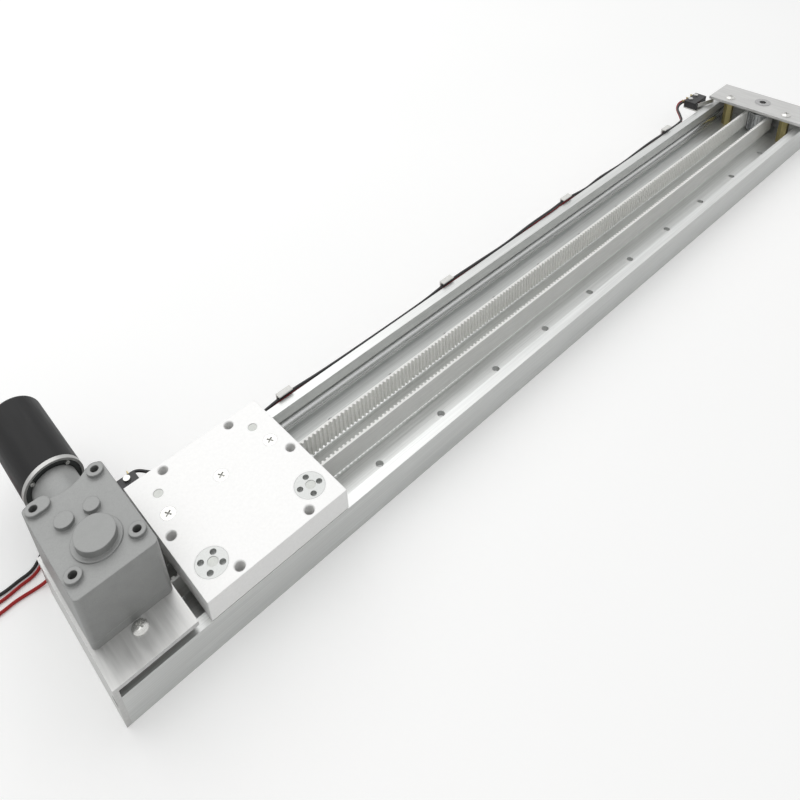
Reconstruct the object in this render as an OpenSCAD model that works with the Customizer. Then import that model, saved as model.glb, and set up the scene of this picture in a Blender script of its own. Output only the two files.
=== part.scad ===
// Belt driven linear axis: a low U-shaped rail with a flat carriage on four
// grooved rollers, moved by a toothed belt that a worm gear motor drives.
// X runs along the rail from the drive axis to the idler axis, +Y is the
// motor's side and Z is up. The origin is where the drive axis meets the
// rail's underside.

/* [Rail] */
// Width over the rail's outer faces
rail_width = 80; // [76:1:100]
// Height of the rail's side walls
wall_height = 22; // [21.5:0.5:23]
// Thickness of each side wall
wall_thickness = 6.2; // [5.8:0.1:7]
// Thickness of the rail's floor
floor_thickness = 4; // [3:0.1:4]
// Distance between the two pulley axes
axis_span = 636; // [560:2:900]
// Drive axis to the rail's motor end
motor_end = 21.5; // [21:0.5:26]
// Idler axis to the rail's idler end
idler_end = 14; // [13:0.5:20]
// Spacing of the mounting holes along the rail
hole_pitch = 50; // [40:1:60]
// Diameter of the mounting holes
hole_diameter = 4.5; // [3.4:0.1:5.5]
// Mounting hole row to the rail's centre line
hole_row = 21; // [20:0.5:23]

/* [Guide] */
// Diameter of the steel guide shafts
shaft_diameter = 6; // [5:0.1:6]
// Guide shaft axis to the rail's outer face
shaft_inset = 5; // [4.8:0.1:5.2]
// Height of the guide shaft axes
shaft_height = 8.5; // [8.5:0.1:9]
// Outer diameter of the grooved rollers
roller_diameter = 17; // [16:0.1:17]
// Radius at which a roller runs on its shaft
running_radius = 7; // [6.8:0.05:7.2]
// Width of the rollers
roller_width = 8; // [7:0.1:8]
// Diameter of the roller axles
axle_diameter = 5; // [4:0.1:5]
// Eccentricity of the adjusting bushes
eccentricity = 0.6; // [0.3:0.05:0.6]

/* [Belt] */
// Width of the belt
belt_width = 15; // [10:0.5:15]
// Thickness of the belt behind its teeth
belt_thickness = 1.2; // [0.9:0.1:1.4]
// Tooth pitch of the belt
belt_pitch = 3; // [2.9:0.02:3]
// Number of teeth on each pulley
pulley_teeth = 20; // [18:1:20]
// Height of the belt's lower edge
belt_bottom = 6; // [6:0.1:6.4]

/* [End brackets] */
// Thickness of the angle brackets
bracket_thickness = 2.5; // [2:0.1:3]
// Height of the brackets' top faces
bracket_top = 30; // [29.5:0.5:32]
// Length of the motor bracket along the rail
motor_bracket_length = 42; // [41.5:0.5:44]
// Length of the idler bracket along the rail
idler_bracket_length = 31.5; // [30:0.5:33]
// Screws of the brackets' standoffs to the centre line
standoff_row = 24.5; // [24:0.5:26]

/* [Carriage] */
// Length of the carriage along the rail
carriage_length = 82; // [80:1:110]
// Thickness of the carriage plate
carriage_thickness = 14; // [13:0.5:18]
// Gap between the rail's walls and the carriage
carriage_gap = 0.5; // [0.4:0.1:1]
// Drive axis to the carriage's motor end, as parked
carriage_start = 26.5; // [26.5:0.5:60]
// Spacing of the rollers along the rail
roller_spacing = 58.5; // [54:0.5:59]
// Spacing of the corner fixing holes along the rail
fixing_pitch_x = 41.2; // [38:0.2:44]
// Corner fixing holes to the carriage's long edges
fixing_edge = 4.5; // [4.5:0.1:6]
// Spacing of the two middle fixing holes
fixing_span = 72.5; // [70:0.5:73]
// Diameter of the tapped fixing holes
fixing_diameter = 5; // [4.2:0.1:5]

/* [Gearbox] */
// Length of the gearbox along the rail
gearbox_length = 40; // [39:0.5:40.5]
// Width of the gearbox across the rail
gearbox_width = 58; // [56:0.5:60]
// Height of the gearbox
gearbox_height = 37; // [36:0.5:40]
// Output axis to the gearbox's free side
output_inset = 20; // [19.5:0.5:21]
// Diameter of the output shaft
output_diameter = 8; // [7:0.1:8]

/* [Motor] */
// Diameter of the motor can
motor_diameter = 31; // [29:0.5:32]
// Length of the motor can
motor_length = 55; // [48:1:70]
// Height of the motor axis over the gearbox's foot
motor_axis = 18; // [17.5:0.1:18.5]
// Gearbox to the motor's front face
neck_length = 19; // [14:0.5:22]

/* [Limit switches] */
// Length of a switch body
switch_length = 20; // [19:0.5:21]
// Width of a switch body
switch_width = 10.2; // [9:0.1:11]
// Height of a switch body
switch_height = 6.4; // [5.6:0.1:6.6]
// Angle of a switch lever before it is pressed
lever_angle = 17; // [14:0.5:17]

/* [Hidden] */
$fn = 48;

// Clearances and the cutters' overrun
fit = 0.02;
run = 0.05;
gap = 0.3;
over = 1;

// Rail
half_width = rail_width / 2;
inner_face = half_width - wall_thickness;
rail_start = -motor_end + bracket_thickness;
rail_stop = axis_span + idler_end - bracket_thickness;
rail_length = rail_stop - rail_start;
shaft_row = half_width - shaft_inset;
shaft_radius = shaft_diameter / 2;
first_hole = 46.5;
hole_count = floor((rail_stop - 35 - first_hole) / hole_pitch) + 1;

// Belt and pulleys: a land on the tooth tips carries the belt
pitch_radius = pulley_teeth * belt_pitch / (2 * PI);
tip_radius = pitch_radius - 0.38;
band_inner = tip_radius + 0.1;
band_outer = band_inner + belt_thickness;
tooth_height = 0.38 * belt_pitch;
belt_top = belt_bottom + belt_width;
flange_radius = band_outer + 0.15;
flange_thickness = 0.8;
pulley_bottom = belt_bottom - gap - flange_thickness;
pulley_top = belt_top + gap + flange_thickness;

// Brackets
plate_bottom = bracket_top - bracket_thickness;
motor_standoff_x = 0;
idler_standoff_x = axis_span - 9.5;
standoff_screw_radius = 2;
end_screw_length = 14;

// Carriage and rollers
carriage_bottom = wall_height + carriage_gap;
carriage_top = carriage_bottom + carriage_thickness;
carriage_x = carriage_start + carriage_length / 2;
roller_row = shaft_row - shaft_radius - running_radius;
near_roller_x = carriage_x - roller_spacing / 2;
far_roller_x = carriage_x + roller_spacing / 2;
roller_bottom = shaft_height - roller_width / 2;
roller_top = shaft_height + roller_width / 2;
race_radius = 4.2;
collar_radius = 4;
axle_head_radius = 2.6;
bush_flange_radius = 8;
bush_flange_height = 3;
bush_radius = 6;
clamp_screw_row = 11.5;
clamp_screw_pitch = 31.25;
clamp_pocket_depth = 6;
clamp_inner = 4.5;
clamp_outer = 16;
clamp_length = 70;
clamp_body_length = roller_spacing - roller_diameter - 1.5;
clamp_wall = 3;
jaw_screw_spacing = 32;
slot_inner = 7.7;
slot_outer = clamp_outer - clamp_wall;
clamp_bottom = 8;

// Gearbox and motor
gearbox_left = gearbox_width - output_inset;
gearbox_base = bracket_top;
gearbox_top = gearbox_base + gearbox_height;
gearbox_wall = 3.5;
base_plate_thickness = 5;
output_radius = output_diameter / 2;
boss_height = 2.4;
big_boss_height = 5;
motor_z = gearbox_base + motor_axis;
motor_radius = motor_diameter / 2;
motor_front = gearbox_left + neck_length;
ring_length = 2.6;
can_wall = 1.3;
end_wall = 1.5;
end_cap_radius = 8;
terminal_offset = 5;
terminal_length = 5;
neck_radius = 11.5;
motor_back = motor_front + ring_length + motor_length;
rotor_shaft_radius = 1.5;
gear_module = 0.8;
output_gear_teeth = 36;
pinion_teeth = 12;
stage_distance = gear_module * (output_gear_teeth + pinion_teeth) / 2;
worm_module = 0.5;
worm_starts = 2;
wheel_teeth = 20;
worm_radius = 2.2;
wheel_radius = worm_module * wheel_teeth / 2;
pin_x = -(worm_radius + wheel_radius);
pin_y = sqrt(stage_distance * stage_distance - pin_x * pin_x);
pin_angle = atan2(pin_y, pin_x);
pin_radius = 1.5;
worm_lead = worm_starts * PI * worm_module;
worm_turns = 3;
gear_z = gearbox_base + base_plate_thickness + 2;
gear_width = 6;
wheel_width = 2.4;
gear_screw_x = gearbox_length / 2 - 4.8;
gear_screw_rear = gearbox_left - 4.8;
gear_screw_front = -output_inset + 10.6;
gear_screw_length = 18.5;
gear_screw_places = [
    [-gear_screw_x, gear_screw_front], [gear_screw_x, gear_screw_front],
    [-gear_screw_x, gear_screw_rear], [gear_screw_x, gear_screw_rear]
];
motor_wall = 12;

// Switches: the near one's lever points to the motor, the far one's away
near_pivot_x = 33.5;
far_pivot_x = axis_span - 32;
pivot_y = half_width + 3;
pivot_inset = 4;
lever_length = 18.5;
lever_thickness = 0.4;
switch_face = pivot_y + 0.6;
switch_bottom = wall_height - 0.5;
switch_top = switch_bottom + switch_height;
bracket_sheet = 1.2;
switch_hole_pitch = 9.5;
switch_terminals_at = [-1.4, 6, 13.4];
switch_bracket_low = 9;
wall_screw_pitch = 12;
button_offset = 5;
button_travel = 1.27;

// Wires, black above red, drawn out from the wall's outer face; then the leads
wire_radius = 0.9;
wire_drop = 2 * wire_radius + 0.1;
drawn_far_pivot = 604;
stretch_start = 80;
stretch_stop = 590;
clip_places = [550, 405, 270, 130];
wall_route = [
    [590, 14, 22.6], [582, 6.5, 21.4], [574, 2.2, 21], [550, 1.4, 21.4],
    [530, 1.2, 22.4], [510, 1.6, 21.6], [480, 1.2, 20.8], [450, 1.4, 22],
    [430, 1.4, 20.8], [405, 2.2, 22.8], [385, 1.4, 23.2], [360, 1.6, 22.8],
    [330, 1.2, 21.6], [300, 1.2, 22.4], [270, 1.8, 22.2], [245, 1.4, 20.8],
    [200, 1.2, 21], [160, 1.4, 21.4], [130, 2, 22.2], [110, 1.4, 21], [80, 1.6, 20.6]
];
black_start = [[602.3, 15.8, 24.4], [600, 15.8, 24.4], [596, 16, 23.8]];
black_end = [[60, 3.6, 20.4], [47, 9.4, 22], [40.6, 14.6, 23.8], [37.4, 15.6, 24.4], [35.2, 15.6, 24.4]];
red_start = [[609.7, 15.8, 24.4], [608.4, 15.8, 24.4], [602.6, 18.8, 23.2], [596, 17.8, 21.6]];
red_end = [[60, 2.8, 18.6], [42, 6, 16.5], [24, 6.4, 16.1], [4, 5.4, 15.7], [-6, 4.4, 15.1]];
switch_lead_route = [
    [-6, 44.4, 15.1], [-12, 44.4, 12.6], [-17, 45.4, 7], [-21, 46.8, 2.6], [-26, 47.8, 1],
    [-36, 48.6, 1], [-45, 48, 1], [-60, 47.6, 1], [-76, 49, 1], [-88, 54, 1],
    [-95, 62, 1], [-96.2, 72, 1]
];
motor_black_route = [
    [-5, 121, 48], [-5, 123.8, 46.6], [-5, 125, 43.4], [-5, 125, 35], [-5, 123.4, 22],
    [-4.8, 118.4, 8], [-4.6, 110, 2], [-4.2, 99, 1], [-4, 84, 1], [-12, 70, 1],
    [-22.5, 59.5, 1], [-32, 58, 1], [-41, 57.5, 1], [-50, 60, 1], [-59, 67, 1],
    [-62.2, 78, 1], [-62.2, 92, 1]
];
motor_red_route = [
    [5, 121, 48], [5, 123.8, 46.6], [5, 125, 43.4], [4.8, 125, 35], [4, 123.4, 22],
    [2.4, 118.4, 8], [0.6, 110, 2], [-0.8, 99, 1], [-1.2, 83, 1], [-9.4, 68, 1],
    [-22, 56.5, 1], [-32, 54.8, 1], [-43, 53.8, 1], [-53, 56.2, 1], [-62, 62.6, 1],
    [-65.2, 74, 1], [-65.4, 92, 1], [-65, 106, 1], [-64.8, 119, 1]
];
coil_radius = 10.4;
coil_half_width = 3 * wire_radius;
coil_height = 1 + 3 * wire_radius;
switch_coil_centre = [-84, 72];
motor_black_centre = [-50, 92];
motor_red_centre = [-52.6, 119];

// A rounded rectangle from its low and high corners
module rounded_rect(low, high, radius) {
    translate([low[0] + radius, low[1]])
        square([high[0] - low[0] - 2 * radius, high[1] - low[1]]);
    translate([low[0], low[1] + radius])
        square([high[0] - low[0], high[1] - low[1] - 2 * radius]);
    for (x = [low[0] + radius, high[0] - radius], y = [low[1] + radius, high[1] - radius])
        translate([x, y]) circle(r = radius);
}

// A block from its low and high corners
module block(low, high) {
    translate(low) cube(high - low);
}

// An upright hole or pin between two heights
module upright(x, y, radius, low, high) {
    translate([x, y, low]) cylinder(r = radius, h = high - low);
}

// An extrusion along X from a section drawn in Y and Z
module along_x(start, length) {
    translate([start, 0, 0]) rotate([90, 0, 90]) linear_extrude(length) children();
}

// Cross-shaped driver recess in the top of a screw head
module cross_recess(x, y, top) {
    translate([x, y, top - 1.1]) rotate(30) for (turn = [0, 90])
        rotate(turn) translate([-1.9, -0.4, 0]) cube([3.8, 0.8, 1.2]);
}

// Rail ------------------------------------------------------------------

module rail_section() {
    difference() {
        union() {
            translate([-half_width, 0]) square([rail_width, floor_thickness]);
            for (side = [-1, 1])
                translate([side > 0 ? inner_face : -half_width, 0])
                    square([wall_thickness, wall_height]);
        }
        for (side = [-1, 1]) {
            translate([side * shaft_row, shaft_height]) circle(r = shaft_radius + run);
            recess_depth = 2.2;
            recess_low = shaft_height + shaft_radius + 0.7;
            translate([side > 0 ? inner_face - over : -inner_face - recess_depth, recess_low])
                square([recess_depth + over, 2]);
        }
    }
}

module rail() {
    color("silver") difference() {
        along_x(rail_start, rail_length) rail_section();
        for (k = [0 : hole_count - 1], side = [-1, 1])
            upright(first_hole + k * hole_pitch, side * hole_row, hole_diameter / 2,
                    -over, floor_thickness + over);
        for (x = [motor_standoff_x, idler_standoff_x], side = [-1, 1])
            lower_screw(x, side * standoff_row, fit);
        for (end = [0, 1], side = [-1, 1])
            end_screw(end, side, fit);
        for (x = [near_bracket_x(), far_bracket_x()], side = [-1, 1])
            wall_screw(x + side * wall_screw_pitch / 2, fit);
    }
}

module guide_shaft(side) {
    color("gainsboro") translate([rail_start, side * shaft_row, shaft_height])
        rotate([0, 90, 0]) cylinder(r = shaft_radius, h = rail_length);
}

module guide_shaft_left() guide_shaft(1);
module guide_shaft_right() guide_shaft(-1);

// End brackets ------------------------------------------------------------

// Screw from below into a standoff
module lower_screw(x, y, extra = 0) {
    head_height = 1.9;
    translate([x, y, extra > 0 ? -0.01 : 0])
        cylinder(r1 = 3.8 + extra, r2 = standoff_screw_radius + extra, h = head_height + extra);
    upright(x, y, standoff_screw_radius + extra, 0, floor_thickness + 8);
}

// Countersunk screw through a bracket's flange into the end of a side wall
module end_screw(end, side, extra = 0) {
    face = end == 0 ? -motor_end : axis_span + idler_end;
    turn = end == 0 ? 90 : -90;
    translate([face, side * (half_width - wall_thickness / 2), wall_height - 4.6])
        rotate([0, turn, 0]) {
            translate([0, 0, extra > 0 ? -0.01 : 0])
                cylinder(r1 = 2.7 + extra, r2 = 1.25 + extra, h = 1.5 + extra);
            cylinder(r = 1.25 + extra, h = end_screw_length);
        }
}

module frame_screws() {
    color("dimgray") {
        for (x = [motor_standoff_x, idler_standoff_x], side = [-1, 1])
            lower_screw(x, side * standoff_row);
        for (end = [0, 1], side = [-1, 1])
            end_screw(end, side);
    }
}

module standoffs() {
    color("darkkhaki")
        for (x = [motor_standoff_x, idler_standoff_x], side = [-1, 1])
            difference() {
                translate([x, side * standoff_row, floor_thickness])
                    cylinder(r = 4.04, h = plate_bottom - floor_thickness, $fn = 6);
                upright(x, side * standoff_row, standoff_screw_radius + fit,
                        floor_thickness - over, plate_bottom + over);
            }
}

// The pan-headed screws; the one under the gearbox has no head
module plate_screws() {
    head = 2.2;
    dome = 5.2;
    color("silver")
        for (x = [motor_standoff_x, idler_standoff_x], side = [-1, 1]) {
            upright(x, side * standoff_row, standoff_screw_radius, plate_bottom - 8, bracket_top);
            if (x != motor_standoff_x || side < 0)
                difference() {
                    intersection() {
                        upright(x, side * standoff_row, 3.85, bracket_top, bracket_top + head);
                        translate([x, side * standoff_row, bracket_top + head - dome])
                            sphere(r = dome);
                    }
                    cross_recess(x, side * standoff_row, bracket_top + head);
                }
        }
}

module motor_bracket() {
    color("gainsboro") difference() {
        union() {
            block([-motor_end, -half_width, 0],
                  [-motor_end + bracket_thickness, half_width, bracket_top]);
            block([-motor_end, -half_width, plate_bottom],
                  [-motor_end + motor_bracket_length, half_width, bracket_top]);
        }
        upright(0, 0, 9, plate_bottom - over, bracket_top + over);
        for (side = [-1, 1]) {
            upright(motor_standoff_x, side * standoff_row, standoff_screw_radius + fit,
                    plate_bottom - over, bracket_top + over);
            end_screw(0, side, fit);
        }
        for (p = gear_screw_places)
            gear_screw(p, fit);
    }
}

module idler_bracket() {
    stop = axis_span + idler_end;
    color("gainsboro") difference() {
        union() {
            block([stop - bracket_thickness, -half_width, 0], [stop, half_width, bracket_top]);
            block([stop - idler_bracket_length, -half_width, plate_bottom],
                  [stop, half_width, bracket_top]);
        }
        upright(axis_span, 0, 4 + fit, plate_bottom - over, bracket_top + over);
        for (side = [-1, 1]) {
            upright(idler_standoff_x, side * standoff_row, standoff_screw_radius + fit,
                    plate_bottom - over, bracket_top + over);
            end_screw(1, side, fit);
        }
    }
}

// Gearbox -----------------------------------------------------------------

// Screw from below through the bracket and the base plate into a corner post
module gear_screw(place, extra = 0) {
    translate([place[0], place[1], plate_bottom - (extra > 0 ? 0.01 : 0)])
        cylinder(r1 = 3.4 + extra, r2 = 1.75 + extra, h = 1.7 + extra);
    upright(place[0], place[1], 1.75 + extra, plate_bottom, plate_bottom + gear_screw_length);
}

module gearbox_screws() {
    color("dimgray") for (p = gear_screw_places) gear_screw(p);
}

module gearbox_outline() {
    rounded_rect([-gearbox_length / 2, -output_inset], [gearbox_length / 2, gearbox_left], 2.5);
}

module gearbox_cavity() {
    difference() {
        rounded_rect([-gearbox_length / 2 + gearbox_wall, -output_inset + gearbox_wall],
                     [gearbox_length / 2 - gearbox_wall, gearbox_left - motor_wall], 3);
        for (p = gear_screw_places) translate(p) circle(r = 2.6);
    }
}

module gearbox_base_plate() {
    color("gray") difference() {
        translate([0, 0, gearbox_base]) linear_extrude(base_plate_thickness) gearbox_outline();
        upright(0, 0, 8 + fit, gearbox_base - over, gearbox_base + base_plate_thickness + over);
        upright(pin_x, pin_y, pin_radius + fit, gearbox_base + 1,
                gearbox_base + base_plate_thickness + over);
        for (p = gear_screw_places) gear_screw(p, fit);
    }
}

module gearbox_housing() {
    shell_base = gearbox_base + base_plate_thickness;
    roof = 4;
    scoop_radius = 19;
    scoop_depth = 4.5;
    color("gray") difference() {
        union() {
            translate([0, 0, shell_base]) linear_extrude(gearbox_top - shell_base)
                difference() {
                    gearbox_outline();
                    translate([0, gearbox_left - scoop_depth + scoop_radius])
                        circle(r = scoop_radius);
                }
            // Neck that carries the motor
            translate([0, gearbox_left - 6, motor_z]) rotate([-90, 0, 0])
                cylinder(r = neck_radius, h = neck_length + 6);
            // Lid bosses: one over the output shaft, two over the idle pins
            upright(0, 0, 11.5, gearbox_top, gearbox_top + 0.8);
            upright(0, 0, 9.4, gearbox_top, gearbox_top + big_boss_height);
            upright(pin_x, pin_y, 4.5, gearbox_top, gearbox_top + boss_height);
            upright(5.6, pin_y - 1.4, 3.9, gearbox_top, gearbox_top + boss_height);
            for (p = gear_screw_places)
                upright(p[0], p[1], 4, gearbox_top, gearbox_top + 1.9);
            // The rear boss on the free side is drawn out along the edge
            upright(-gear_screw_x + 3.8, gear_screw_rear, 4, gearbox_top, gearbox_top + 1.9);
            block([-gear_screw_x, gear_screw_rear - 4, gearbox_top],
                  [-gear_screw_x + 3.8, gear_screw_rear + 4, gearbox_top + 1.9]);
        }
        translate([0, 0, shell_base - over])
            linear_extrude(gearbox_top - roof - shell_base + over) gearbox_cavity();
        upright(0, 0, 7 + fit, gearbox_top - roof - over, gearbox_top + 1.5);
        upright(pin_x, pin_y, pin_radius + fit, gearbox_top - roof - over, gearbox_top);
        for (p = gear_screw_places) {
            gear_screw(p, fit);
            upright(p[0], p[1], 2, gearbox_top - 10, gearbox_top + 2 + over);
        }
        // Bore for the worm shaft and its pocket behind the motor
        translate([0, gearbox_left - motor_wall - over, motor_z]) rotate([-90, 0, 0])
            cylinder(r = 4, h = neck_length + motor_wall + 2 * over);
    }
}

module output_bearings() {
    color("silver") {
        difference() {
            upright(0, 0, 8, gearbox_base + 0.2, gearbox_base + 4.2);
            upright(0, 0, output_radius + run, gearbox_base - over, gearbox_base + 6);
        }
        difference() {
            upright(0, 0, 7, gearbox_top - 3.6, gearbox_top + 1.4);
            upright(0, 0, output_radius + run, gearbox_top - 6, gearbox_top + 3);
        }
    }
}

module intermediate_pin() {
    color("silver")
        upright(pin_x, pin_y, pin_radius, gearbox_base + 1.1, gearbox_top - 0.2);
}

module output_shaft() {
    color("silver") upright(0, 0, output_radius, pulley_bottom, gearbox_top + 1);
}

// Half angle of an involute tooth at a radius, for a given backlash
function involute(angle) = tan(angle) - angle * PI / 180;
function tooth_half_angle(module_size, teeth, radius, backlash) =
    let (pitch = module_size * teeth / 2,
         base = pitch * cos(20),
         pressure = radius > base ? acos(base / radius) : 0)
    90 / teeth - backlash / pitch * 90 / PI
        + (involute(20) - involute(pressure)) * 180 / PI;

module spur_outline(module_size, teeth, addendum, dedendum, backlash) {
    pitch = module_size * teeth / 2;
    root = pitch - dedendum;
    steps = [max(pitch * cos(20), root), pitch - 0.25 * module_size,
             pitch, pitch + 0.5 * addendum, pitch + addendum];
    polygon([
        for (k = [0 : teeth - 1])
            let (middle = 360 * k / teeth)
            for (p = concat(
                [[root, -tooth_half_angle(module_size, teeth, steps[0], backlash)]],
                [for (r = steps) [r, -tooth_half_angle(module_size, teeth, r, backlash)]],
                [for (i = [4 : -1 : 0])
                    [steps[i], tooth_half_angle(module_size, teeth, steps[i], backlash)]],
                [[root, tooth_half_angle(module_size, teeth, steps[0], backlash)]]))
            [p[0] * cos(middle + p[1]), p[0] * sin(middle + p[1])]
    ]);
}

module output_gear() {
    color("darkgoldenrod") translate([0, 0, gear_z]) difference() {
        rotate(pin_angle) linear_extrude(gear_width)
            spur_outline(gear_module, output_gear_teeth, 0.52, 0.95, 0.14);
        translate([0, 0, -over]) cylinder(r = output_radius + fit, h = gear_width + 2 * over);
    }
}

module intermediate_gear() {
    wheel_low = motor_z - wheel_width / 2;
    color("darkgoldenrod") translate([pin_x, pin_y, 0]) difference() {
        union() {
            translate([0, 0, gear_z - 0.5]) rotate(pin_angle + 180 + 180 / pinion_teeth)
                linear_extrude(gear_width + 1)
                    spur_outline(gear_module, pinion_teeth, 0.52, 0.9, 0.14);
            upright(0, 0, 3.4, gear_z + gear_width + 0.5, wheel_low);
            // Worm wheel with straight, narrow teeth
            translate([0, 0, wheel_low]) linear_extrude(wheel_width) {
                circle(r = wheel_radius - 0.55);
                for (k = [0 : wheel_teeth - 1])
                    rotate(360 * k / wheel_teeth)
                        polygon([[wheel_radius - 1.2, -0.42], [wheel_radius - 0.5, -0.4],
                                 [wheel_radius + 0.35, -0.16], [wheel_radius + 0.35, 0.16],
                                 [wheel_radius - 0.5, 0.4], [wheel_radius - 1.2, 0.42]]);
            }
        }
        upright(0, 0, pin_radius + run, gear_z - 5, motor_z + 10);
    }
}

// Two-start worm: a two-lobed section that turns along the shaft
module worm_shaft() {
    worm_length = worm_turns * worm_lead;
    lobe = [[-66, -0.62], [-30, 0.36], [-14, 0.42], [14, 0.42], [30, 0.36], [66, -0.62]];
    worm_start = pin_y - worm_length / 2;
    shaft_start = worm_start - 1;
    color("silver") {
        translate([0, worm_start, motor_z]) rotate([-90, 0, 0])
            linear_extrude(worm_length, twist = -360 * worm_turns, slices = 60)
                polygon([for (start = [90, 270], p = lobe)
                    let (r = worm_radius + p[1]) [r * cos(start + p[0]), r * sin(start + p[0])]]);
        translate([0, shaft_start, motor_z]) rotate([-90, 0, 0])
            cylinder(r = rotor_shaft_radius, h = motor_back - 0.5 - shaft_start);
    }
}

// Motor -------------------------------------------------------------------

// A round motor part between two places along the motor axis
module motor_disc(radius, low, high) {
    translate([0, motor_front + low, motor_z]) rotate([-90, 0, 0])
        cylinder(r = radius, h = high - low);
}

module motor_front_ring() {
    color("silver") difference() {
        motor_disc(motor_radius, 0, ring_length);
        motor_disc(motor_radius - can_wall, -over, ring_length + over);
    }
}

module motor_front_plate() {
    color("dimgray") difference() {
        motor_disc(motor_radius - can_wall - fit, 0.6, 3.6);
        motor_disc(rotor_shaft_radius + run, -over, 5);
        for (angle = [45, 135, 225, 315]) motor_screw(angle, fit);
    }
}

module motor_screw(angle, extra = 0) {
    translate([0, motor_front, motor_z]) rotate([-90, 0, 0]) rotate(angle)
        translate([(neck_radius + motor_radius - can_wall) / 2, 0, 0]) {
            translate([0, 0, -0.6]) cylinder(r = 1.1 + extra, h = 1.2);
            cylinder(r = 0.8 + extra, h = 3.2);
        }
}

module motor_screws() {
    color("silver") for (angle = [45, 135, 225, 315]) motor_screw(angle);
}

module motor_can() {
    corner = 3;
    length = motor_back - motor_front - ring_length;
    inner = motor_radius - can_wall;
    color("black") translate([0, motor_front + ring_length, motor_z]) rotate([-90, 0, 0])
        rotate_extrude() difference() {
            union() {
                square([motor_radius, length - corner]);
                square([motor_radius - corner, length]);
                translate([motor_radius - corner, length - corner]) circle(r = corner);
            }
            translate([-over, -over]) square([inner + over, length - end_wall + over]);
            translate([-over, -over]) square([end_cap_radius + fit + over, length + 2 * over]);
        }
}

module motor_end_cap() {
    color("black") difference() {
        union() {
            translate([0, motor_back - end_wall, motor_z]) rotate([-90, 0, 0])
                cylinder(r = end_cap_radius, h = end_wall + 1.5);
            translate([0, motor_back + 1.5, motor_z]) rotate([-90, 0, 0])
                cylinder(r = 4, h = 1.2);
        }
        translate([0, motor_back - 3, motor_z]) rotate([-90, 0, 0])
            cylinder(r = rotor_shaft_radius + run, h = 4);
        motor_terminal_blades(fit, over);
    }
}

module motor_terminal_blades(extra = 0, overrun = 0) {
    for (side = [-1, 1])
        block([side * terminal_offset - 1.4 - extra, motor_back - end_wall - overrun,
               motor_z - 0.25 - extra],
              [side * terminal_offset + 1.4 + extra, motor_back + terminal_length,
               motor_z + 0.25 + extra]);
}

module motor_terminals() {
    color("goldenrod") motor_terminal_blades();
}

module motor_armature() {
    color("darkslategray") difference() {
        translate([0, motor_front + 12, motor_z]) rotate([-90, 0, 0])
            cylinder(r = 8.5, h = motor_length - 26);
        translate([0, motor_front + 11, motor_z]) rotate([-90, 0, 0])
            cylinder(r = rotor_shaft_radius + fit, h = motor_length);
    }
}

// Belt drive --------------------------------------------------------------

// One tooth or groove, drawn pointing along +Y from its root line
module tooth_outline(height, root_half, tip_half) {
    polygon([[-root_half, -0.2], [-root_half, 0], [-tip_half, height],
             [tip_half, height], [root_half, 0], [root_half, -0.2]]);
}

module belt_loop(radius) {
    translate([0, -radius]) square([axis_span, 2 * radius]);
    for (x = [0, axis_span]) translate([x, 0]) circle(r = radius);
}

module belt() {
    // Teeth on the straight runs only: on the pulleys the band lies bare
    bare = 5.6;
    first_tooth = ceil(bare / belt_pitch);
    last_tooth = floor((axis_span - bare) / belt_pitch);
    color("white") translate([0, 0, belt_bottom]) linear_extrude(belt_width) difference() {
        belt_loop(band_outer);
        difference() {
            belt_loop(band_inner);
            for (k = [first_tooth : last_tooth], side = [-1, 1])
                translate([k * belt_pitch, side * band_inner]) rotate(side > 0 ? 180 : 0)
                    tooth_outline(tooth_height, 0.95, 0.55);
        }
    }
}

module pulley(bore) {
    groove = tooth_height + 0.15;
    difference() {
        union() {
            translate([0, 0, belt_bottom - gap]) linear_extrude(belt_width + 2 * gap) difference() {
                circle(r = tip_radius);
                for (k = [0 : pulley_teeth - 1])
                    rotate(360 * k / pulley_teeth) translate([0, tip_radius])
                        mirror([0, 1]) polygon([[-1.1, -0.4], [-1.1, 0], [-0.7, groove],
                                                [0.7, groove], [1.1, 0], [1.1, -0.4]]);
            }
            for (z = [pulley_bottom, pulley_top - flange_thickness])
                upright(0, 0, flange_radius, z, z + flange_thickness);
        }
        upright(0, 0, bore, pulley_bottom - over, pulley_top + over);
    }
}

module drive_pulley() {
    color("silver") pulley(output_radius + fit);
}

module idler_pulley() {
    color("silver") translate([axis_span, 0, 0]) pulley(6 + fit);
}

module idler_bearings() {
    color("gainsboro") translate([axis_span, 0, 0])
        for (z = [pulley_bottom, pulley_top - 5])
            difference() {
                upright(0, 0, 6, z, z + 5);
                upright(0, 0, 3 + run, z - over, z + 6);
            }
}

module idler_axle() {
    color("silver") translate([axis_span, 0, 0]) difference() {
        union() {
            upright(0, 0, 3, floor_thickness, plate_bottom);
            upright(0, 0, 4.2, pulley_top + 0.1, plate_bottom);
            upright(0, 0, 4, plate_bottom, bracket_top);
            upright(0, 0, 6.4, bracket_top, bracket_top + 0.4);
        }
        translate([0, 0, bracket_top - 3]) cylinder(r = 3, h = 4, $fn = 6);
    }
}

// Carriage ----------------------------------------------------------------

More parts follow.
